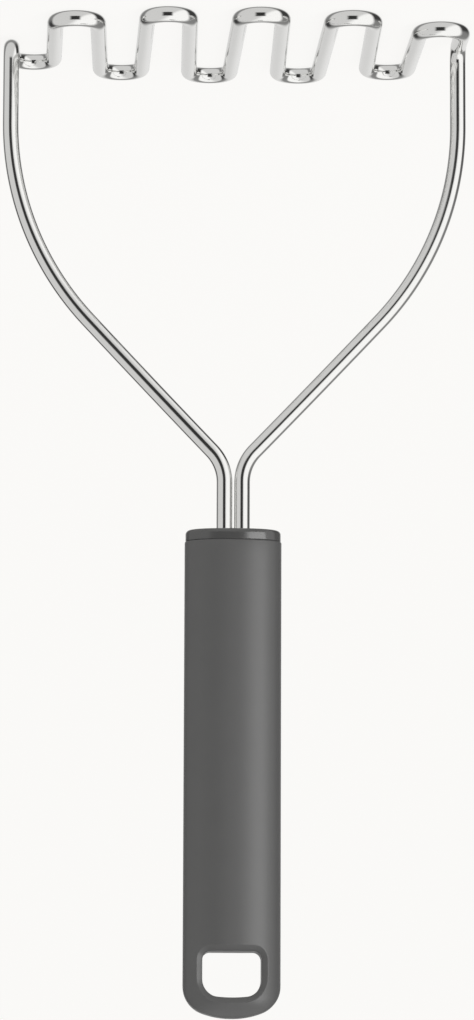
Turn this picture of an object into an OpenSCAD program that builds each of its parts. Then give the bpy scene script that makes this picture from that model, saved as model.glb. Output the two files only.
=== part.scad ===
// Wire masher: a zigzag wire head on two bowed arms, with a flat oval handle.
// The head lies on z = 0, the handle points up, and the arms lie in the plane y = 0.

/* [Wire] */
// Diameter of the wire
wire_d = 4.2; // [3.6:0.1:4.8]

/* [Head] */
// Radius of each loop of the zigzag
bend_r = 5.6; // [5:0.1:6.5]
// Lean of the legs, in degrees, because each loop turns a little under half a turn
leg_lean = 0.8727; // [0.5:0.0001:1.2]
// Half depth of the head at its middle, to the wire's centre line
head_reach = 34.1; // [30:0.1:38]
// Half width of the oval that the loops follow, counted in loops
head_oval = 5.15; // [5.05:0.05:6]
// Exponent of that oval, where 2 is an ellipse
head_power = 2.5; // [2:0.1:3]
// Radius of the bend from a leg up into an arm
corner_r = 4.5; // [4:0.1:6]

/* [Arms] */
// Height at which the arms start to curve inwards
arm_rise = 23.5; // [15:0.1:30]
// Radius of the arm's bow
bow_r = 77.7; // [74:0.1:82]
// Turn of the arm's bow, in degrees
bow_turn = 43; // [42:0.1:43.4]
// Turn of the arm where it meets the neck, in degrees
neck_turn = 43.8; // [43.6:0.1:46]
// Radius of the bend into the stem
neck_r = 12.2; // [10:0.1:16]
// Distance between the two stems' centre lines
stem_gap = 4.6; // [4.4:0.1:6]

/* [Handle] */
// Overall length of the tool
tool_len = 260; // [250:1:280]
// Height of the collar's face, where the stems go in
collar_z = 132.6; // [128:0.1:140]
// Height of the collar's cap
collar_h = 3; // [2:0.1:5]
// Width of the grip
grip_w = 25.4; // [23:0.1:30]
// Thickness of the grip
grip_t = 14; // [13:0.1:18]
// Exponent of the grip's oval section, where 2 is an ellipse
grip_power = 2.35; // [2:0.05:3]
// Wall of the grip around its core
grip_wall = 2.6; // [2:0.1:3]
// Radius of the grip's end, seen from the front
end_crown_r = 22; // [18:1:40]
// Radius of the end's corners, seen from the front
end_corner_r = 7.5; // [5:0.5:9]
// Radius of the end's edges, seen from the side
end_edge_r = 6; // [1:0.1:6]

/* [Hang hole] */
// Width of the hole
hole_w = 15.4; // [12:0.1:17]
// Length of the hole
hole_len = 12; // [10:0.1:16]
// Distance from the hole to the grip's end
hole_end = 5.3; // [4:0.1:8]
// Radius of the hole's corners towards the head
hole_head_r = 2.2; // [1:0.1:3]
// Radius of the hole's corners towards the end
hole_end_r = 3.8; // [3:0.1:5.5]
// Width of the chamfer round the hole
hole_chamfer = 1.5; // [0.5:0.1:2]

/* [Core] */
// Length of each wire tang inside the core, before its hooked end
tang_len = 66; // [40:1:80]
// Radius of the tang's hooked end
hook_r = 4; // [3.5:0.1:5]
// Length of the core
core_len = 92; // [80:1:94]
// Clearance between the wire and the plastic round it, on the radius
wire_fit = 0.05; // [0.02:0.01:0.1]

/* [Hidden] */
$fn = 64;
tiny = 0.01;
far = 200;

wire_r = wire_d / 2;
last_loop = 9;
arm_x = loop_x(0) + bend_r;

// The run between the bow and the neck is bent very slightly. Its radius closes
// the arm between the head and the stem. It is rounded to 0.01, and the stem's
// exact place follows from it.
bow_in = bow_r * (1 - cos(bow_turn));
neck_in = neck_r * (1 - cos(neck_turn));
run_exact = (arm_x - stem_gap / 2 - bow_in - neck_in) / (cos(bow_turn) - cos(neck_turn));
run_r = round(run_exact * 100) / 100;
stem_x = arm_x - bow_in - neck_in - run_r * (cos(bow_turn) - cos(neck_turn));

bow_centre = [arm_x - bow_r, 0, arm_rise];
run_centre = bow_centre + (bow_r - run_r) * [cos(bow_turn), 0, sin(bow_turn)];
neck_top = [stem_x + neck_r, 0, run_centre[2] + (run_r + neck_r) * sin(neck_turn)];

seam_z = collar_z + collar_h;
spigot_h = 4;
core_gap = 0.2;
core_z = seam_z + spigot_h + core_gap;
// The stem's length is rounded to 0.1, from the neck to the hooked end.
stem_len = round(10 * (core_z + tang_len - neck_top[2])) / 10;
hook_z = neck_top[2] + stem_len;
hook_reach = 1.5;
collar_w = grip_w - 0.4;
collar_t = grip_t - 0.4;
collar_edge_r = 1.2;
cavity_w = grip_w - 2 * grip_wall;
cavity_t = grip_t - 2 * grip_wall;
core_fit = 0.05;
core_split = 0.02;
hole_z = tool_len - hole_end - hole_len / 2;

// Half extent of a loop at a place along the head, counted in loops from the
// middle. It is rounded to 0.1, like a bending drawing.
function loop_reach(place) =
    round(10 * head_reach * pow(1 - pow(abs(place) / head_oval, head_power), 1 / head_power)) / 10;

// Loops alternate sides, and their centres follow from the legs' lean.
function loop_side(i) = (i % 2 == 0) ? 1 : -1;
function loop_y(i) = loop_side(i) * (loop_reach(i - last_loop / 2) - bend_r);
function loop_gap(i) =
    2 * bend_r * cos(leg_lean)
    + tan(leg_lean) * (abs(loop_y(i) - loop_y(i + 1)) + 2 * bend_r * sin(leg_lean));
function loop_run(i) = (i == 0) ? 0 : loop_run(i - 1) + loop_gap(i - 1);
function loop_x(i) = loop_run(last_loop) / 2 - loop_run(i);

// Where a loop meets a leg. end is 1 on the loop's +X side, and -1 on the other.
function leg_end(i, end) = [
    loop_x(i) + end * bend_r * cos(leg_lean),
    loop_y(i) + loop_side(i) * bend_r * sin(leg_lean),
    wire_r
];

// Outline of an oval section whose sides follow a superellipse.
function oval(w, t, power, steps = 96) = [
    for (i = [0 : steps - 1])
        let (a = 360 * i / steps)
        [
            w / 2 * sign(cos(a)) * pow(abs(cos(a)), 2 / power),
            t / 2 * sign(sin(a)) * pow(abs(sin(a)), 2 / power)
        ]
];

// Moves to a place in two steps, a round one and a small one, so that long
// decimals keep their last digits.
module at(place) {
    coarse = [for (v = place) round(v * 100) / 100];
    translate(coarse)
        translate(place - coarse)
            children();
}

// A bent run of wire in the plane of its centre, from one angle to another.
module bend(bend_radius, from, turn, r, facets = 64) {
    rotate_extrude(angle = turn, start = from, $fn = facets)
        translate([bend_radius, 0])
            circle(r = r);
}

// A straight run of wire upwards.
module rod(length, r) {
    cylinder(h = length, r = r);
}

// The leg between loop i and the next. Two runs of the same length make it, one
// from each end, and they overlap in its middle.
module leg(i) {
    ends = [leg_end(i, -1), leg_end(i + 1, 1)];
    low = (loop_side(i) > 0) ? ends[1] : ends[0];
    high = (loop_side(i) > 0) ? ends[0] : ends[1];
    turn = -leg_lean * loop_side(i);
    length = ceil(6 * norm(high - low)) / 10;
    for (start = [low, high - length * [-sin(turn), cos(turn), 0]])
        at(start)
            rotate([-90, 0, turn])
                rod(length, wire_r);
}

// One loop, in two halves. The first and last loops turn all the way to the
// straight runs that lead to the arms.
module loop(i) {
    outer_lean = (i == 0 || i == last_loop) ? 0 : leg_lean;
    at([loop_x(i), loop_y(i), wire_r])
        rotate([0, 0, 90 - 90 * loop_side(i)]) {
            bend(bend_r, outer_lean, 90 - outer_lean, wire_r);
            bend(bend_r, 90, 90 - leg_lean, wire_r);
        }
}

// The legs and loops of the head.
module zigzag() {
    for (i = [0 : last_loop - 1])
        leg(i);
    for (i = [0 : last_loop])
        loop(i);
}

// The stem and its tang: a straight run up from the neck, and a hook inside
// the core that points outwards.
module stem(r) {
    at([stem_x, 0, neck_top[2]])
        rod(stem_len, r);
    at([stem_x + hook_r, 0, hook_z])
        rotate([90, 0, 0])
            bend(hook_r, 90, 90, r);
    at([stem_x + hook_r, 0, hook_z + hook_r])
        rotate([0, 90, 0])
            rod(hook_reach, r);
}

// One arm from the first loop, round the corner and up to the tang's hooked end.
module arm() {
    at([arm_x, corner_r, wire_r])
        rotate([-90, 0, 0])
            rod(loop_y(0) - corner_r, wire_r);
    at([arm_x, corner_r, wire_r + corner_r])
        rotate([90, 0, 90])
            bend(corner_r, 180, 90, wire_r);
    at([arm_x, 0, wire_r + corner_r])
        rod(arm_rise - wire_r - corner_r, wire_r);
    at(bow_centre)
        rotate([90, 0, 0])
            bend(bow_r, 0, bow_turn, wire_r, 360);
    at(run_centre)
        rotate([90, 0, 0])
            bend(run_r, bow_turn, neck_turn - bow_turn, wire_r, 1440);
    at(neck_top)
        rotate([90, 0, 0])
            bend(neck_r, 180, neck_turn, wire_r, 128);
    stem(wire_r);
}

// The whole wire is one piece. Its two arms are the same, half a turn apart.
module masher_wire() {
    color("lightsteelblue")
        union() {
            zigzag();
            arm();
            rotate([0, 0, 180])
                arm();
        }
}

// A solid with an oval section, rounded at its low end as seen from the front
// and from the side.
module capped_oval(w, t, low_z, high_z, edge_r) {
    intersection() {
        translate([0, 0, low_z])
            linear_extrude(high_z - low_z)
                polygon(oval(w, t, grip_power));
        rotate([90, 0, 0])
            linear_extrude(far, center = true)
                low_rounded(w, low_z, high_z, edge_r);
        rotate([90, 0, 90])
            linear_extrude(far, center = true)
                low_rounded(t, low_z, high_z, edge_r);
    }
}

// A rectangle whose two low corners are round.
module low_rounded(w, low, high, r) {
    translate([-w / 2, low + r])
        square([w, high - low - r]);
    translate([-w / 2 + r, low])
        square([w - 2 * r, 2 * r]);
    for (side = [-1, 1])
        translate([side * (w / 2 - r), low + r])
            circle(r = r);
}

// The collar caps the handle. Its spigot plugs the grip's cavity, and the two
// stems pass through it.
module collar() {
    color("dimgray")
        difference() {
            union() {
                capped_oval(collar_w, collar_t, collar_z, seam_z, collar_edge_r);
                translate([0, 0, seam_z - tiny])
                    linear_extrude(spigot_h + tiny)
                        polygon(oval(cavity_w - 2 * core_fit, cavity_t - 2 * core_fit, grip_power));
            }
            for (side = [-1, 1])
                at([side * stem_x, 0, collar_z - 1])
                    cylinder(h = collar_h + spigot_h + 2, r = wire_r + wire_fit);
        }
}

// The grip's outline from the front: straight sides, a crowned end and round
// corners that touch both.
module grip_front() {
    corner_x = grip_w / 2 - end_corner_r;
    crown_z = tool_len - end_crown_r;
    corner_z = crown_z + sqrt(pow(end_crown_r - end_corner_r, 2) - pow(corner_x, 2));
    blend = end_crown_r / (end_crown_r - end_corner_r);
    touch_x = corner_x * blend;
    touch_z = crown_z + (corner_z - crown_z) * blend;
    translate([-grip_w / 2, seam_z])
        square([grip_w, corner_z - seam_z]);
    for (side = [-1, 1])
        translate([side * corner_x, corner_z])
            circle(r = end_corner_r, $fn = 96);
    intersection() {
        translate([0, crown_z])
            circle(r = end_crown_r, $fn = 192);
        polygon([
            [-corner_x, corner_z - 1], [corner_x, corner_z - 1],
            [corner_x, corner_z], [touch_x, touch_z], [touch_x, tool_len],
            [-touch_x, tool_len], [-touch_x, touch_z], [-corner_x, corner_z]
        ]);
    }
}

// The grip's outline from the side: straight faces and two round edges.
module grip_side() {
    translate([-grip_t / 2, seam_z])
        square([grip_t, tool_len - end_edge_r - seam_z]);
    translate([-grip_t / 2 + end_edge_r, seam_z])
        square([grip_t - 2 * end_edge_r, tool_len - seam_z]);
    for (side = [-1, 1])
        translate([side * (grip_t / 2 - end_edge_r), tool_len - end_edge_r])
            circle(r = end_edge_r);
}

// The hang hole's outline, grown by an amount.
module hole_outline(grow) {
    w = hole_w + 2 * grow;
    len = hole_len + 2 * grow;
    low_r = hole_head_r + grow;
    high_r = hole_end_r + grow;
    translate([0, hole_z])
        hull() {
            for (side = [-1, 1]) {
                translate([side * (w / 2 - low_r), low_r - len / 2])
                    circle(r = low_r, $fn = 32);
                translate([side * (w / 2 - high_r), len / 2 - high_r])
                    circle(r = high_r, $fn = 32);
            }
        }
}

// The chamfer at one face of the hang hole. Its cutter runs a little past the
// face and into the hole.
module hole_bevel() {
    run_out = 0.8;
    hull()
        for (depth = [-run_out, hole_chamfer + run_out])
            translate([0, depth - grip_t / 2, 0])
                rotate([90, 0, 0])
                    linear_extrude(tiny)
                        hole_outline(hole_chamfer - depth);
}

// The grip is a sleeve: a cavity for the core at one end, and solid round the
// hang hole at the other.
module grip_sleeve() {
    color([0.30, 0.30, 0.31])
        difference() {
            intersection() {
                translate([0, 0, seam_z])
                    linear_extrude(tool_len - seam_z)
                        polygon(oval(grip_w, grip_t, grip_power));
                rotate([90, 0, 0])
                    linear_extrude(far, center = true)
                        grip_front();
                rotate([90, 0, 90])
                    linear_extrude(far, center = true)
                        grip_side();
            }
            translate([0, 0, seam_z - 1])
                linear_extrude(core_z + core_len + core_gap - seam_z + 1)
                    polygon(oval(cavity_w, cavity_t, grip_power));
            rotate([90, 0, 0])
                linear_extrude(far, center = true)
                    hole_outline(0);
            hole_bevel();
            rotate([0, 0, 180])
                hole_bevel();
        }
}

// One half of the core, split on the plane of the wire, with half channels
// that hold the hooked tangs. side is -1 for the front half, 1 for the rear.
module core_half(side) {
    difference() {
        translate([0, 0, core_z])
            linear_extrude(core_len)
                intersection() {
                    polygon(oval(cavity_w - 2 * core_fit, cavity_t - 2 * core_fit, grip_power));
                    translate([-far / 2, side > 0 ? core_split : -far - core_split])
                        square([far, far]);
                }
        stem(wire_r + wire_fit);
        rotate([0, 0, 180])
            stem(wire_r + wire_fit);
    }
}

module core_front() {
    color("lightgray")
        core_half(-1);
}

module core_rear() {
    color("gainsboro")
        core_half(1);
}

masher_wire();
collar();
grip_sleeve();
core_front();
core_rear();
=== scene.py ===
"""Looks of the wire masher: a polished wire, a satin grip and a glossier collar.

The object stands on its head, as in the CAD frame. Lengths below are in
millimetres, and MM turns them into Blender's metres. Directions are the
frame's: +Z up the handle, +X along the row of loops, +Y across the head.
"""

import math

import bmesh
import bpy
from mathutils import Matrix, Vector


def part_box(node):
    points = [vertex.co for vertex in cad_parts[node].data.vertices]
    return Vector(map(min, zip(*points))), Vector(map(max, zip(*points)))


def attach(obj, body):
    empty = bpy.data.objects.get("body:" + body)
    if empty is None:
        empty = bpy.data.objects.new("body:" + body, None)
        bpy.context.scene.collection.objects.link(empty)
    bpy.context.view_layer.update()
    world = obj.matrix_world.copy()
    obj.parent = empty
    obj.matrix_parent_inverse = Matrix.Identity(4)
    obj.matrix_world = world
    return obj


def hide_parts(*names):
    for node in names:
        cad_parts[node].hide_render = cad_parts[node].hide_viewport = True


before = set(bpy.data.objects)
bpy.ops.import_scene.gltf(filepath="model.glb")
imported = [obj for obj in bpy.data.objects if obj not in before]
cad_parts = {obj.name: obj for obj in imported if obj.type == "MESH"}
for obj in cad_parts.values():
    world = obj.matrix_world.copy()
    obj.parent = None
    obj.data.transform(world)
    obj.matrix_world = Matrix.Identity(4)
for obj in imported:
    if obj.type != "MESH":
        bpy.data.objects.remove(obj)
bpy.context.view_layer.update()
MM = 0.001

# Wire and head
WIRE_R = 2.1
BEND_R = 5.6
LEG_LEAN = math.radians(0.8727)
LAST_LOOP = 9
HEAD_REACH = 34.1
HEAD_OVAL = 5.15
HEAD_POWER = 2.5
CORNER_R = 4.5

# Arms and stems
ARM_RISE = 23.5
BOW_R = 77.7
BOW_TURN = math.radians(43)
NECK_TURN = math.radians(43.8)
NECK_R = 12.2
STEM_GAP = 4.6
HOOK_R = 4
HOOK_REACH = 1.5

# Handle
TOOL_LEN = 260
COLLAR_Z = 132.6
COLLAR_H = 3
SPIGOT_H = 4
GRIP_W = 25.4
GRIP_T = 14
GRIP_POWER = 2.35
GRIP_WALL = 2.6
END_CROWN_R = 22
END_CORNER_R = 7.5
END_EDGE_R = 6
END_POWER = 8
END_BLEND = 5
END_SHARPNESS = 6
MOUTH_EDGE_R = 0.35
COLLAR_STEP = 0.2
COLLAR_TOP_R = 1.1
COLLAR_SEAM_R = 0.3
CORE_LEN = 92
CORE_GAP = 0.2
FIT = 0.05

# Hang hole
HOLE_W = 15.4
HOLE_LEN = 12
HOLE_END = 5.3
HOLE_HEAD_R = 2.2
HOLE_END_R = 3.8
HOLE_CROWN_R = 34
HOLE_CHAMFER = 1.5
HOLE_LIP_DEPTH = 1.2
HOLE_FILLET = 0.3
BORE_FILLET = 0.15

# Points round each section of the handle and of the wire
SIDES = 96
WIRE_SIDES = 40

SEAM_Z = COLLAR_Z + COLLAR_H
CORE_Z = SEAM_Z + SPIGOT_H + CORE_GAP
HOLE_Z = TOOL_LEN - HOLE_END - HOLE_LEN / 2
CAVITY_W = GRIP_W - 2 * GRIP_WALL
CAVITY_T = GRIP_T - 2 * GRIP_WALL

# The camera looks at the middle of the tool from the front, a little from the
# handle's end, with the head at the top of the picture.
VIEW_TARGET = Vector((-1.0, 0, 127.0)) * MM
VIEW_DISTANCE = 1.25
VIEW_PITCH = math.radians(8.27)
VIEW_YAW = math.radians(-1.82)
VIEW_ROLL = math.radians(-0.2)
VIEW_LENS = 168.0

# Brightness of the studio's surfaces
GREY_WALL = 0.72
WHITE_WALL = 1.12
GAP_LEVEL = 0.05
RING_DARK = 0.05
RING_LEVEL = 0.25
RING_TOP = 0.28
BACKDROP_GREY = 0.73
BACKDROP_WHITE = 0.85

# Where one surface of the studio blends into the next. A direction has a part to
# the camera's right, a part up and a part back towards the camera. Each pair is
# a range of one of them, or of a mix of them that studio_level makes.
WALL_TILT = 0.45
WALL_SPLIT = (0.05, 0.45)
GAP_LEFT = (-0.48, -0.28)
GAP_RIGHT = (0.16, 0.34)
GAP_BELOW = (-0.50, -0.34)
GAP_ABOVE = (0.38, 0.54)
GAP_FRONT = (0.0, 0.1)
RING_TURN = -0.2
RING_CURVE = 0.4
RING_START = (-0.28, 0.05)
RING_CORNERS = (-0.25, 0.25)
RING_SIDES = (0.25, 0.65)
BACKDROP_START = (-0.96, -0.70)
BACKDROP_SPLIT = (-0.3, 0.3)

# The usual spread of a noise value, and its steps per metre along the wire
NOISE_LOW = 0.3
NOISE_HIGH = 0.7
LINE_STEPS = 60.0

# Colours of the studio's light and of the pale floor
STUDIO_WHITE = (1, 0.995, 0.985)
PALE = (0.947, 0.939, 0.922)

# The two soft lights, in metres and watts, and how far they stand to the right
LIGHT_DISTANCE = 1.3
LIGHT_HEIGHT = 1.2
KEY_POWER = 4.0
KEY_WIDTH = 0.35
KEY_SIDEWAYS = 0.85
STRIP_POWER = 10.0
STRIP_WIDTH = 0.8
STRIP_SIDEWAYS = 0.64

# The floor's half width, and the strength of its glow
FLOOR_HALF = 30000
FLOOR_GLOW = 0.93


# ---------------------------------------------------------------- mesh tools

def new_object(name, bm):
    """A smooth-shaded object from a bmesh whose coordinates are millimetres."""
    bmesh.ops.scale(bm, vec=(MM, MM, MM), verts=bm.verts)
    mesh = bpy.data.meshes.new(name)
    bm.to_mesh(mesh)
    bm.free()
    mesh.shade_smooth()
    obj = bpy.data.objects.new(name, mesh)
    bpy.context.scene.collection.objects.link(obj)
    return obj


def place_piece(obj, node):
    """The piece hangs from the root body and stands in for a CAD node, which it hides."""
    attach(obj, "root")
    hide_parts(node)


def grid_faces(bm, rings):
    """Quads between neighbouring rings of vertices."""
    for low, high in zip(rings, rings[1:]):
        for i in range(len(low)):
            j = (i + 1) % len(low)
            bm.faces.new((low[i], low[j], high[j], high[i]))


# ---------------------------------------------------------------------- wire

def arc(centre, u, v, radius, start, end, steps):
    """Points on an arc in the plane of the unit vectors u and v."""
    return [
        centre + radius * (math.cos(a) * u + math.sin(a) * v)
        for a in (start + (end - start) * k / steps for k in range(steps + 1))
    ]


def loop_reach(place):
    """Half extent of a loop, counted in loops from the middle, rounded to 0.1 mm."""
    share = (abs(place) / HEAD_OVAL) ** HEAD_POWER
    return round(10 * HEAD_REACH * (1 - share) ** (1 / HEAD_POWER)) / 10


def loop_centres():
    """Centres of the loops, which alternate sides and follow the legs' lean."""
    loops = range(LAST_LOOP + 1)
    ys = [(-1) ** i * (loop_reach(i - LAST_LOOP / 2) - BEND_R) for i in loops]
    xs = [0.0]
    for y, next_y in zip(ys, ys[1:]):
        run = abs(y - next_y) + 2 * BEND_R * math.sin(LEG_LEAN)
        xs.append(xs[-1] - 2 * BEND_R * math.cos(LEG_LEAN) - math.tan(LEG_LEAN) * run)
    middle = xs[-1] / 2
    return [Vector((x - middle, y, WIRE_R)) for x, y in zip(xs, ys)]


def arm_line(arm_x):
    """The wire's centre line from one hooked end down to the first leg."""
    x_axis, y_axis, z_axis = Vector((1, 0, 0)), Vector((0, 1, 0)), Vector((0, 0, 1))
    stem_x = STEM_GAP / 2
    bow_in = BOW_R * (1 - math.cos(BOW_TURN))
    neck_in = NECK_R * (1 - math.cos(NECK_TURN))
    run_r = (arm_x - stem_x - bow_in - neck_in) / (math.cos(BOW_TURN) - math.cos(NECK_TURN))
    bow = Vector((arm_x - BOW_R, 0, ARM_RISE))
    run = bow + (BOW_R - run_r) * (math.cos(BOW_TURN) * x_axis + math.sin(BOW_TURN) * z_axis)
    neck = Vector((stem_x + NECK_R, 0, run.z + (run_r + NECK_R) * math.sin(NECK_TURN)))
    hook_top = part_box("masher_wire")[1].z / MM - WIRE_R
    hook = Vector((stem_x + HOOK_R, 0, hook_top - HOOK_R))
    corner = Vector((arm_x, CORNER_R, WIRE_R + CORNER_R))
    half_turn = math.pi
    return (
        [hook + Vector((HOOK_REACH, 0, HOOK_R))]
        + arc(hook, x_axis, z_axis, HOOK_R, half_turn / 2, half_turn, 16)
        + arc(neck, x_axis, z_axis, NECK_R, half_turn, half_turn + NECK_TURN, 32)
        + arc(run, x_axis, z_axis, run_r, NECK_TURN, BOW_TURN, 6)[1:]
        + arc(bow, x_axis, z_axis, BOW_R, BOW_TURN, 0, 64)[1:]
        + arc(corner, y_axis, z_axis, CORNER_R, half_turn, half_turn * 1.5, 24)
    )


def wire_line():
    """The whole centre line: one arm, the zigzag, and the other arm."""
    x_axis, y_axis = Vector((1, 0, 0)), Vector((0, 1, 0))
    centres = loop_centres()
    first = arm_line(centres[0].x + BEND_R)
    line = list(first)
    for i, centre in enumerate(centres):
        side = (-1) ** i
        start = 0 if i == 0 else LEG_LEAN
        end = math.pi if i == LAST_LOOP else math.pi - LEG_LEAN
        line += arc(centre, x_axis, side * y_axis, BEND_R, start, end, 40)
    return line + [Vector((-p.x, -p.y, p.z)) for p in reversed(first)]


def drop_repeats(line):
    """The line without points that lie within 0.01 mm of the one before them."""
    kept = [line[0]]
    for point in line[1:]:
        if (point - kept[-1]).length > 0.01:
            kept.append(point)
    return kept


def sweep_tube(line):
    """A closed tube along a line, with UVs: u round the wire, v along it in metres."""
    bm = bmesh.new()
    uv = bm.loops.layers.uv.new("UVMap")
    tangents = []
    for k, point in enumerate(line):
        before, after = line[max(k - 1, 0)], line[min(k + 1, len(line) - 1)]
        tangents.append((after - before).normalized())
    normal = tangents[0].orthogonal().normalized()
    rings, lengths, run = [], [], 0.0
    for k, point in enumerate(line):
        if k:
            turn = tangents[k - 1].rotation_difference(tangents[k])
            normal = turn @ normal
            run += (point - line[k - 1]).length
        normal = (normal - normal.dot(tangents[k]) * tangents[k]).normalized()
        across = tangents[k].cross(normal)
        ring = []
        for s in range(WIRE_SIDES):
            a = 2 * math.pi * s / WIRE_SIDES
            outwards = math.cos(a) * normal + math.sin(a) * across
            ring.append(bm.verts.new(point + WIRE_R * outwards))
        rings.append(ring)
        lengths.append(run)
    for k in range(len(rings) - 1):
        for s in range(WIRE_SIDES):
            t = (s + 1) % WIRE_SIDES
            face = bm.faces.new((rings[k][s], rings[k][t], rings[k + 1][t], rings[k + 1][s]))
            u_low, u_high = s / WIRE_SIDES, (s + 1) / WIRE_SIDES
            around = (u_low, u_high, u_high, u_low)
            along = (lengths[k], lengths[k], lengths[k + 1], lengths[k + 1])
            for corner, u, v in zip(face.loops, around, along):
                corner[uv].uv = (u, v * MM)
    bm.faces.new(list(reversed(rings[0])))
    bm.faces.new(rings[-1])
    return bm


def build_wire():
    """The whole wire, with its hidden tangs, as one smooth tube."""
    wire = new_object("polished_wire", sweep_tube(drop_repeats(wire_line())))
    place_piece(wire, "masher_wire")
    return wire


# -------------------------------------------------------------------- handle

def oval_ring(bm, half_w, half_t, z):
    """One ring of a superellipse section, starting at +X."""
    ring = []
    for s in range(SIDES):
        a = 2 * math.pi * s / SIDES
        c, n = math.cos(a), math.sin(a)
        x = half_w * math.copysign(abs(c) ** (2 / GRIP_POWER), c)
        y = half_t * math.copysign(abs(n) ** (2 / GRIP_POWER), n)
        ring.append(bm.verts.new((x, y, z)))
    return ring


def end_corner():
    """Height of the end corners' centres, and the crown's half angle between them."""
    swing = math.asin((GRIP_W / 2 - END_CORNER_R) / (END_CROWN_R - END_CORNER_R))
    return TOOL_LEN - END_CROWN_R + (END_CROWN_R - END_CORNER_R) * math.cos(swing), swing


def grip_half_w(z):
    """Half width of the grip's front outline at a height."""
    corner_z, swing = end_corner()
    crown_z = TOOL_LEN - END_CROWN_R
    if z <= corner_z:
        return GRIP_W / 2
    if z <= crown_z + END_CROWN_R * math.cos(swing):
        return GRIP_W / 2 - END_CORNER_R + math.sqrt(END_CORNER_R ** 2 - (z - corner_z) ** 2)
    return math.sqrt(max(END_CROWN_R ** 2 - (z - crown_z) ** 2, 0))


def grip_half_t(z):
    """Half thickness of the grip at a height, with its rounded end."""
    rise = z - (TOOL_LEN - END_EDGE_R)
    if rise <= 0:
        return GRIP_T / 2
    return GRIP_T / 2 - END_EDGE_R + math.sqrt(max(END_EDGE_R ** 2 - rise ** 2, 0))


def face_height(x, share, z):
    """Distance of the grip's face from the middle plane.

    The face is oval all the way up. At the end it is cut by the front outline,
    with a round edge that starts sharp where the outline starts to curve. share
    is how far out x is, from 0 to 1 on the outline.
    """
    oval = max(1 - (2 * abs(x) / GRIP_W) ** GRIP_POWER, 0) ** (1 / GRIP_POWER)
    height = grip_half_t(z) * oval
    rise = z - end_corner()[0]
    if rise <= 0:
        return height
    power = END_POWER * (1 + END_SHARPNESS * max(1 - rise / END_BLEND, 0) ** 2)
    return height * (1 - min(share, 1) ** power) ** (1 / power)


def grip_face_y(x, z):
    """Distance of the grip's face from the middle plane, away from its tips."""
    return face_height(x, abs(x) / grip_half_w(z), z)


def grip_ring(bm, z, tuck):
    """One ring of the grip, starting at +X and drawn in by a small tuck."""
    half_w, half_t = grip_half_w(z), grip_half_t(z)
    ring = []
    for s in range(SIDES):
        a = 2 * math.pi * s / SIDES
        share = abs(math.cos(a)) ** (2 / GRIP_POWER)
        x = math.copysign(half_w * share, math.cos(a))
        y = math.copysign(face_height(x, share, z), math.sin(a))
        ring.append(bm.verts.new((x * (1 - tuck / GRIP_W * 2), y * (1 - tuck / half_t), z)))
    return ring


def hole_distance(x, z, grow):
    """Signed distance from the hang hole's outline, grown by an amount.

    The outline's side towards the grip's end is slightly crowned.
    """
    dz = z - HOLE_Z
    if dz > 0:
        dz += x * x / (2 * HOLE_CROWN_R)
    r = (HOLE_END_R if dz > 0 else HOLE_HEAD_R) + grow
    qx = abs(x) - (HOLE_W / 2 + grow - r)
    qz = abs(dz) - (HOLE_LEN / 2 + grow - r)
    return math.hypot(max(qx, 0), max(qz, 0)) + min(max(qx, qz), 0) - r


def hole_point(towards_x, towards_z, grow):
    """Where the ray from the hole's middle towards a point meets its outline."""
    low, high = 0.0, 1.0
    halvings = 40
    for _ in range(halvings):
        mid = (low + high) / 2
        if hole_distance(mid * towards_x, HOLE_Z + mid * towards_z, grow) > 0:
            high = mid
        else:
            low = mid
    return high * towards_x, HOLE_Z + high * towards_z


def end_heights():
    """Ring heights of the grip's end, close together where it curves."""
    corner_z, swing = end_corner()
    crown_z = TOOL_LEN - END_CROWN_R
    steps = 14
    turns = [(math.pi / 2 - swing) * k / steps for k in range(steps + 1)]
    corner = [corner_z + END_CORNER_R * math.sin(turn) for turn in turns]
    turns = [swing * (1 - k / steps) for k in range(1, steps + 1)]
    crown = [crown_z + END_CROWN_R * math.cos(turn) for turn in turns]
    return corner + crown


def hole_patch(bm, border, side):
    """Rings from a border of grid vertices in to the hang hole's chamfer.

    Returns the chamfer's outer and inner rings. side is -1 at the front and 1 at
    the rear.
    """
    steps, crowding = 7, 0.8
    rings = [border]
    aim = [(v.co.x, v.co.z - HOLE_Z) for v in border]
    outer = [hole_point(x, z, HOLE_CHAMFER) for x, z in aim]
    inner = [hole_point(x, z, 0) for x, z in aim]
    for k in range(1, steps + 1):
        share = (k / steps) ** crowding
        ring = []
        for vert, (ox, oz) in zip(border, outer):
            x = vert.co.x + (ox - vert.co.x) * share
            z = vert.co.z + (oz - vert.co.z) * share
            ring.append(bm.verts.new((x, side * grip_face_y(x, z), z)))
        rings.append(ring)
    lip = []
    for x, z in inner:
        lip.append(bm.verts.new((x, side * (grip_face_y(x, z) - HOLE_LIP_DEPTH), z)))
    rings.append(lip)
    grid_faces(bm, rings)
    return rings[steps], lip


def grid_border(rows, columns):
    """The vertices round a block of grid cells, in order."""
    low, high = rows[0], rows[-1]
    first, last = columns
    border = [low[c % SIDES] for c in range(first, last)]
    border += [row[last % SIDES] for row in rows[:-1]]
    border += [high[c % SIDES] for c in range(last, first, -1)]
    border += [row[first % SIDES] for row in reversed(rows[1:])]
    return border


def weigh_rings(bm, rings):
    """Marks the edges of closed rings for the fillet."""
    weights = bm.edges.layers.float.new("bevel_weight_edge")
    for ring in rings:
        for a, b in zip(ring, ring[1:] + ring[:1]):
            bm.edges.get((a, b))[weights] = 1.0


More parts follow.
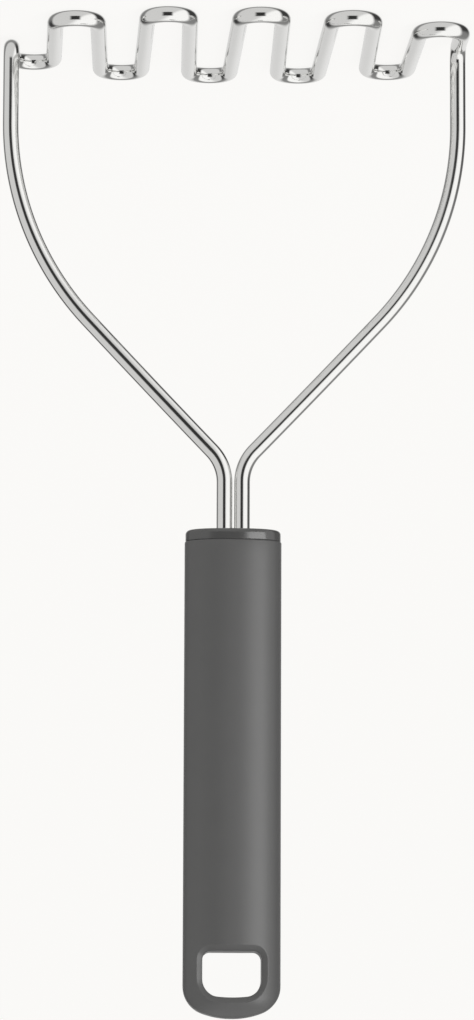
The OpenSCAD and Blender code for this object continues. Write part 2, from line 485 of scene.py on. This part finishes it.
def build_grip():
    """The grip: oval sleeve, crowned end, open cavity and chamfered hang hole."""
    bm = bmesh.new()
    mouth_steps = 4
    turns = [math.pi / 2 * k / mouth_steps for k in range(mouth_steps + 1)]
    mouth = [SEAM_Z + MOUTH_EDGE_R * (1 - math.cos(turn)) for turn in turns]
    tucks = {z: MOUTH_EDGE_R * (1 - math.sin(turn)) for z, turn in zip(mouth, turns)}
    body_low, body_gap, body_rows = SEAM_Z + 4, 7.9, 13
    body = [body_low + body_gap * k for k in range(body_rows)]
    patch_low, patch_gap, patch_rows = HOLE_Z - 9.2, 1.1, 11
    patch = [patch_low + patch_gap * k for k in range(patch_rows)]
    heights = sorted(set(mouth + body + patch + end_heights()))
    rings = [grip_ring(bm, z, tucks.get(z, 0)) for z in heights]

    # The hole's patches take the place of a block of cells on each face.
    patch_high = TOOL_LEN - 2.6
    block = [k for k, z in enumerate(heights) if patch_low <= z <= patch_high]
    quarter, reach = SIDES // 4, 15
    front = (3 * quarter - reach, 3 * quarter + reach)
    rear = (quarter - reach, quarter + reach)
    for k in range(len(rings) - 1):
        for s in range(SIDES):
            in_rows = block[0] <= k < block[-1]
            in_columns = any(first <= s < last for first, last in (front, rear))
            if in_rows and in_columns:
                continue
            t = (s + 1) % SIDES
            bm.faces.new((rings[k][s], rings[k][t], rings[k + 1][t], rings[k + 1][s]))
    edge_rings, lips = [], []
    for columns, side in ((front, -1), (rear, 1)):
        border = grid_border([rings[k] for k in block], columns)
        outer, lip = hole_patch(bm, border, side)
        edge_rings += [outer, lip]
        lips.append(lip)
    grid_faces(bm, [lips[0], sorted_match(lips[0], lips[1])])
    sleeve_cavity(bm, rings[0])
    weigh_rings(bm, edge_rings)
    bmesh.ops.remove_doubles(bm, verts=bm.verts, dist=1e-4)
    bmesh.ops.recalc_face_normals(bm, faces=bm.faces)
    grip = new_object("grip", bm)
    round_edges(grip, HOLE_FILLET)
    place_piece(grip, "grip_sleeve")
    return grip


def sorted_match(front, rear):
    """The rear ring's vertices in the order that pairs them with the front's."""
    spots = {(round(v.co.x, 4), round(v.co.z, 4)): v for v in rear}
    return [spots[(round(v.co.x, 4), round(v.co.z, 4))] for v in front]


def sleeve_cavity(bm, mouth):
    """The sleeve's end face and the cavity that holds the core."""
    depth_z = CORE_Z + CORE_LEN + CORE_GAP
    wall = [oval_ring(bm, CAVITY_W / 2, CAVITY_T / 2, z) for z in (SEAM_Z, depth_z)]
    grid_faces(bm, [mouth] + wall)
    bm.faces.new(wall[-1])


def round_edges(obj, width):
    """A small fillet on the edges that carry a bevel weight."""
    bevel = obj.modifiers.new("fillet", "BEVEL")
    bevel.limit_method = "WEIGHT"
    bevel.width = width * MM
    bevel.segments = 3
    bevel.harden_normals = False


def build_collar():
    """The collar: a rounded cap with two stem holes, and its hidden spigot."""
    bm = bmesh.new()
    half_w = GRIP_W / 2 - COLLAR_STEP
    half_t = GRIP_T / 2 - COLLAR_STEP
    top_steps, seam_steps = 8, 4
    rings = []
    for k in range(top_steps + 1):
        a = math.pi / 2 * k / top_steps
        tuck = COLLAR_TOP_R * (1 - math.sin(a))
        z = COLLAR_Z + COLLAR_TOP_R * (1 - math.cos(a))
        rings.append(oval_ring(bm, half_w - tuck, half_t - tuck, z))
    for k in range(seam_steps + 1):
        a = math.pi / 2 * k / seam_steps
        tuck = COLLAR_SEAM_R * (1 - math.cos(a))
        z = SEAM_Z - COLLAR_SEAM_R * (1 - math.sin(a))
        rings.append(oval_ring(bm, half_w - tuck, half_t - tuck, z))
    for z in (SEAM_Z, SEAM_Z + SPIGOT_H):
        rings.append(oval_ring(bm, CAVITY_W / 2 - FIT, CAVITY_T / 2 - FIT, z))
    grid_faces(bm, rings)
    weigh_rings(bm, fill_with_bores(bm, rings[0], rings[-1]))
    bmesh.ops.recalc_face_normals(bm, faces=bm.faces)
    collar = new_object("collar_cap", bm)
    round_edges(collar, BORE_FILLET)
    place_piece(collar, "collar")
    return collar


def fill_with_bores(bm, top_ring, low_ring):
    """Closes the collar's two flat faces round the stems' bores.

    Returns the rims of the bores on the face that shows.
    """
    steps = 40
    radius = WIRE_R + FIT
    turns = [2 * math.pi * k / steps for k in range(steps)]
    rims = []
    for ring in (top_ring, low_ring):
        z = ring[0].co.z
        edges = [bm.edges.get((a, b)) for a, b in zip(ring, ring[1:] + ring[:1])]
        for stem_x in (-STEM_GAP / 2, STEM_GAP / 2):
            rim = [
                bm.verts.new((stem_x + radius * math.cos(a), radius * math.sin(a), z))
                for a in turns
            ]
            edges += [bm.edges.new((a, b)) for a, b in zip(rim, rim[1:] + rim[:1])]
            rims.append(rim)
        bmesh.ops.triangle_fill(bm, use_beauty=True, use_dissolve=False, edges=edges)
    grid_faces(bm, [rims[0], rims[2]])
    grid_faces(bm, [rims[1], rims[3]])
    return rims[:2]


# --------------------------------------------------------------- node tools

def add_node(tree, kind, settings=None, **inputs):
    """A new node with its settings and unlinked inputs filled in."""
    node = tree.nodes.new(kind)
    for key, value in (settings or {}).items():
        setattr(node, key, value)
    for key, value in inputs.items():
        node.inputs[key.replace("_", " ")].default_value = value
    return node


def ramp(tree, value, limits, out_low, out_high):
    """A smooth step from one output to another while a value crosses its limits."""
    node = add_node(tree, "ShaderNodeMapRange", {"interpolation_type": "SMOOTHSTEP"})
    node.inputs["From Min"].default_value, node.inputs["From Max"].default_value = limits
    node.inputs["To Min"].default_value = out_low
    node.inputs["To Max"].default_value = out_high
    tree.links.new(value, node.inputs["Value"])
    return node.outputs["Result"]


def feed(tree, part, socket):
    """Puts a number in a socket, or links another socket to it."""
    if isinstance(part, (int, float)):
        socket.default_value = part
    else:
        tree.links.new(part, socket)


def curve(tree, operation, value):
    """One value's cosine, sine, absolute value and so on."""
    node = add_node(tree, "ShaderNodeMath", {"operation": operation})
    feed(tree, value, node.inputs[0])
    return node.outputs["Value"]


def combine(tree, operation, first, *others):
    """One value from several, taken in turn."""
    result = first
    for value in others:
        node = add_node(tree, "ShaderNodeMath", {"operation": operation})
        feed(tree, result, node.inputs[0])
        feed(tree, value, node.inputs[1])
        result = node.outputs["Value"]
    return result


def blend(tree, share, first, second):
    """The first value where the share is 0, and the second where it is 1."""
    node = add_node(tree, "ShaderNodeMix", {"data_type": "FLOAT"})
    for name, part in (("Factor", share), ("A", first), ("B", second)):
        feed(tree, part, node.inputs[name])
    return node.outputs["Result"]


def part_along(tree, direction, axis):
    """The part of a direction along a fixed axis."""
    node = add_node(tree, "ShaderNodeVectorMath", {"operation": "DOT_PRODUCT"})
    node.inputs[1].default_value = axis
    tree.links.new(direction, node.inputs[0])
    return node.outputs["Value"]


# ----------------------------------------------------------------- materials

def new_material(name, colour, metallic, roughness):
    """A node material with one Principled shader, and that shader."""
    material = bpy.data.materials.new(name)
    material.use_nodes = True
    shader = material.node_tree.nodes["Principled BSDF"]
    shader.inputs["Base Color"].default_value = (*colour, 1)
    shader.inputs["Metallic"].default_value = metallic
    shader.inputs["Roughness"].default_value = roughness
    return material, shader


def noise(tree, vector, scale, detail, roughness=0.5):
    """A noise texture on the given coordinates."""
    node = add_node(tree, "ShaderNodeTexNoise", Scale=scale, Detail=detail, Roughness=roughness)
    tree.links.new(vector, node.inputs["Vector"])
    return node.outputs["Fac"]


def vary_roughness(tree, shader, value, swing):
    """Lets a noise value, in its usual spread, move the roughness up and down."""
    middle = shader.inputs["Roughness"].default_value
    node = add_node(tree, "ShaderNodeMapRange", From_Min=NOISE_LOW, From_Max=NOISE_HIGH)
    node.inputs["To Min"].default_value = middle - swing
    node.inputs["To Max"].default_value = middle + swing
    tree.links.new(value, node.inputs["Value"])
    tree.links.new(node.outputs["Result"], shader.inputs["Roughness"])


def vary_colour(tree, shader, value, swing):
    """Lets a noise value move the base colour up and down."""
    middle = shader.inputs["Base Color"].default_value[:3]
    ends = {"A": [part - swing for part in middle], "B": [part + swing for part in middle]}
    node = add_node(tree, "ShaderNodeMix", {"data_type": "RGBA"})
    for socket in node.inputs:
        if socket.type == "RGBA":
            socket.default_value = (*ends[socket.name], 1)
    tree.links.new(value, node.inputs["Factor"])
    mixed = [socket for socket in node.outputs if socket.type == "RGBA"][0]
    tree.links.new(mixed, shader.inputs["Base Color"])


def bump(tree, shader, height, distance):
    """Bump of a real height, in millimetres, on a shader."""
    node = add_node(tree, "ShaderNodeBump", Strength=1.0, Distance=distance * MM)
    tree.links.new(height, node.inputs["Height"])
    tree.links.new(node.outputs["Normal"], shader.inputs["Normal"])


def object_coordinates(tree):
    return tree.nodes.new("ShaderNodeTexCoord").outputs["Object"]


def wire_coordinates(tree):
    """Coordinates that run along the wire, and round it without a seam."""
    uv = tree.nodes.new("ShaderNodeTexCoord").outputs["UV"]
    split = tree.nodes.new("ShaderNodeSeparateXYZ")
    tree.links.new(uv, split.inputs["Vector"])
    join = tree.nodes.new("ShaderNodeCombineXYZ")
    turn = combine(tree, "MULTIPLY", split.outputs["X"], 2 * math.pi)
    for axis, operation in (("X", "COSINE"), ("Y", "SINE")):
        tree.links.new(curve(tree, operation, turn), join.inputs[axis])
    stretch = combine(tree, "MULTIPLY", split.outputs["Y"], LINE_STEPS)
    tree.links.new(stretch, join.inputs["Z"])
    return join.outputs["Vector"]


def wire_material():
    """Polished stainless wire with faint drawing lines along it."""
    material, shader = new_material("polished_steel", (0.82, 0.82, 0.81), 1.0, 0.1)
    tree = material.node_tree
    lines = noise(tree, wire_coordinates(tree), scale=9.0, detail=4.0, roughness=0.6)
    clouds = noise(tree, object_coordinates(tree), scale=90.0, detail=2.0)
    vary_roughness(tree, shader, lines, 0.03)
    vary_colour(tree, shader, clouds, 0.02)
    bump(tree, shader, lines, 0.002)
    return material


def grip_material():
    """Satin moulded plastic with a fine grain."""
    material, shader = new_material("satin_grey_plastic", (0.087, 0.087, 0.087), 0.0, 0.42)
    tree = material.node_tree
    place = object_coordinates(tree)
    grain = noise(tree, place, scale=3800.0, detail=3.0)
    clouds = noise(tree, place, scale=140.0, detail=3.0)
    vary_colour(tree, shader, clouds, 0.004)
    vary_roughness(tree, shader, grain, 0.04)
    bump(tree, shader, grain, 0.012)
    return material


def collar_material():
    """The same plastic with a smoother, glossier face."""
    material, shader = new_material("glossy_grey_plastic", (0.072, 0.072, 0.072), 0.0, 0.175)
    shader.inputs["Specular IOR Level"].default_value = 0.62
    tree = material.node_tree
    place = object_coordinates(tree)
    grain = noise(tree, place, scale=2200.0, detail=2.0)
    clouds = noise(tree, place, scale=160.0, detail=3.0)
    vary_colour(tree, shader, clouds, 0.004)
    vary_roughness(tree, shader, grain, 0.025)
    bump(tree, shader, grain, 0.003)
    return material


def core_material():
    """Pale glass-filled nylon, hidden inside the grip."""
    material, shader = new_material("pale_nylon", (0.55, 0.55, 0.53), 0.0, 0.55)
    tree = material.node_tree
    fibres = noise(tree, object_coordinates(tree), scale=700.0, detail=5.0)
    vary_colour(tree, shader, fibres, 0.05)
    bump(tree, shader, fibres, 0.02)
    return material


def paint(obj, material):
    """Gives the whole object one material, in every slot that it has."""
    for slot in obj.material_slots:
        slot.material = material
    if not obj.material_slots:
        obj.data.materials.append(material)


# -------------------------------------------------------------------- studio

def view_axes():
    """The camera's right, up and backward directions, for the picture's view.

    The picture is upside down in the frame, so right is towards -X.
    """
    yaw = Matrix.Rotation(-VIEW_YAW, 3, "Z")
    pitch = Matrix.Rotation(-VIEW_PITCH, 3, "X")
    roll = Matrix.Rotation(VIEW_ROLL, 3, "Y")
    turn = yaw @ pitch @ roll
    right = turn @ Vector((-1, 0, 0))
    up = turn @ Vector((0, 0, -1))
    back = turn @ Vector((0, -1, 0))
    return right, up, back


def build_camera():
    right, up, back = view_axes()
    data = bpy.data.cameras.new("view")
    data.lens = VIEW_LENS
    data.sensor_width = 36.0
    data.clip_end = 50.0
    camera = bpy.data.objects.new("view", data)
    bpy.context.scene.collection.objects.link(camera)
    turn = Matrix((right, up, back)).transposed().to_4x4()
    camera.matrix_world = Matrix.Translation(VIEW_TARGET + VIEW_DISTANCE * back) @ turn
    bpy.context.scene.camera = camera


def studio_level(tree, direction):
    """Brightness of the studio in a direction.

    The wall is grey towards one side of the camera and white towards the
    other. A dark gap is where the camera stands. Behind the object a dim ring
    runs round the room, darkest at two of its corners, and the backdrop closes it.
    """
    right, up, back = view_axes()
    side = part_along(tree, direction, right)
    rise = part_along(tree, direction, up)
    front = part_along(tree, direction, back)

    tilt = combine(tree, "MULTIPLY", rise, WALL_TILT)
    whiteness = combine(tree, "SUBTRACT", side, tilt)
    wall = ramp(tree, whiteness, WALL_SPLIT, GREY_WALL, WHITE_WALL)
    gap = combine(
        tree, "MULTIPLY",
        ramp(tree, side, GAP_LEFT, 0, 1),
        ramp(tree, side, GAP_RIGHT, 1, 0),
        ramp(tree, rise, GAP_BELOW, 0, 1),
        ramp(tree, rise, GAP_ABOVE, 1, 0),
        ramp(tree, front, GAP_FRONT, 0, 1 - GAP_LEVEL),
    )
    wall = combine(tree, "MULTIPLY", wall, combine(tree, "SUBTRACT", 1, gap))

    turned = combine(tree, "MULTIPLY", side, RING_TURN)
    curved = combine(tree, "MULTIPLY", rise, rise, RING_CURVE)
    depth = combine(tree, "ADD", front, turned, curved)
    diagonal = combine(tree, "MULTIPLY", side, rise)
    corners = ramp(tree, diagonal, RING_CORNERS, RING_LEVEL, RING_DARK)
    sideways = ramp(tree, curve(tree, "ABSOLUTE", side), RING_SIDES, 0, 1)
    ring = blend(tree, sideways, RING_TOP, corners)
    room = blend(tree, ramp(tree, depth, RING_START, 1, 0), wall, ring)

    backdrop = ramp(tree, side, BACKDROP_SPLIT, BACKDROP_GREY, BACKDROP_WHITE)
    return blend(tree, ramp(tree, front, BACKDROP_START, 1, 0), room, backdrop)


def build_world():
    """The studio that lights the object. The camera itself sees a plain pale world."""
    world = bpy.data.worlds.new("studio")
    bpy.context.scene.world = world
    world.use_nodes = True
    tree = world.node_tree
    direction = tree.nodes.new("ShaderNodeTexCoord").outputs["Generated"]
    studio = tree.nodes["Background"]
    tree.links.new(studio_level(tree, direction), studio.inputs["Strength"])
    studio.inputs["Color"].default_value = (*STUDIO_WHITE, 1)
    plain = add_node(tree, "ShaderNodeBackground")
    plain.inputs["Color"].default_value = (*PALE, 1)
    pick = tree.nodes.new("ShaderNodeMixShader")
    rays = tree.nodes.new("ShaderNodeLightPath")
    tree.links.new(rays.outputs["Is Camera Ray"], pick.inputs["Fac"])
    tree.links.new(studio.outputs["Background"], pick.inputs[1])
    tree.links.new(plain.outputs["Background"], pick.inputs[2])
    tree.links.new(pick.outputs["Shader"], tree.nodes["World Output"].inputs["Surface"])


def build_floor():
    """A plain pale floor that glows, so that it stays even and nearly shadowless."""
    bm = bmesh.new()
    bmesh.ops.create_grid(bm, x_segments=1, y_segments=1, size=FLOOR_HALF)
    floor = new_object("floor", bm)
    material, shader = new_material("pale_floor", (0.1, 0.1, 0.1), 0.0, 0.9)
    shader.inputs["Specular IOR Level"].default_value = 0.0
    shader.inputs["Emission Color"].default_value = (*PALE, 1)
    shader.inputs["Emission Strength"].default_value = FLOOR_GLOW
    paint(floor, material)
    floor.visible_glossy = False


def soft_light(name, sideways, width, energy):
    """An upright soft light beside the camera, turned to the tool's middle."""
    right, up, back = view_axes()
    data = bpy.data.lights.new(name, "AREA")
    data.shape = "RECTANGLE"
    data.size = width
    data.size_y = LIGHT_HEIGHT
    data.energy = energy
    light = bpy.data.objects.new(name, data)
    bpy.context.scene.collection.objects.link(light)
    away = (back + sideways * right).normalized()
    across = up.cross(away).normalized()
    turn = Matrix((across, away.cross(across), away)).transposed().to_4x4()
    light.matrix_world = Matrix.Translation(VIEW_TARGET + LIGHT_DISTANCE * away) @ turn
    return light


def build_lights(plastic):
    """A key light for the shading, and a strip for the plastic's long highlight.

    The wire mirrors the studio alone, so neither light is for it.
    """
    key = soft_light("key", KEY_SIDEWAYS, KEY_WIDTH, KEY_POWER)
    key.visible_glossy = False
    strip = soft_light("strip", STRIP_SIDEWAYS, STRIP_WIDTH, STRIP_POWER)
    strip.visible_diffuse = False
    lit = bpy.data.collections.new("plastic")
    for obj in plastic:
        lit.objects.link(obj)
    strip.light_linking.receiver_collection = lit


build_camera()
build_world()
build_floor()
grip = build_grip()
collar = build_collar()
build_lights((grip, collar))
paint(build_wire(), wire_material())
paint(grip, grip_material())
paint(collar, collar_material())
core_finish = core_material()
for node_name in ("core_front", "core_rear"):
    paint(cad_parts[node_name], core_finish)

bpy.context.scene.view_settings.view_transform = "Standard"
bpy.context.scene.view_settings.look = "None"
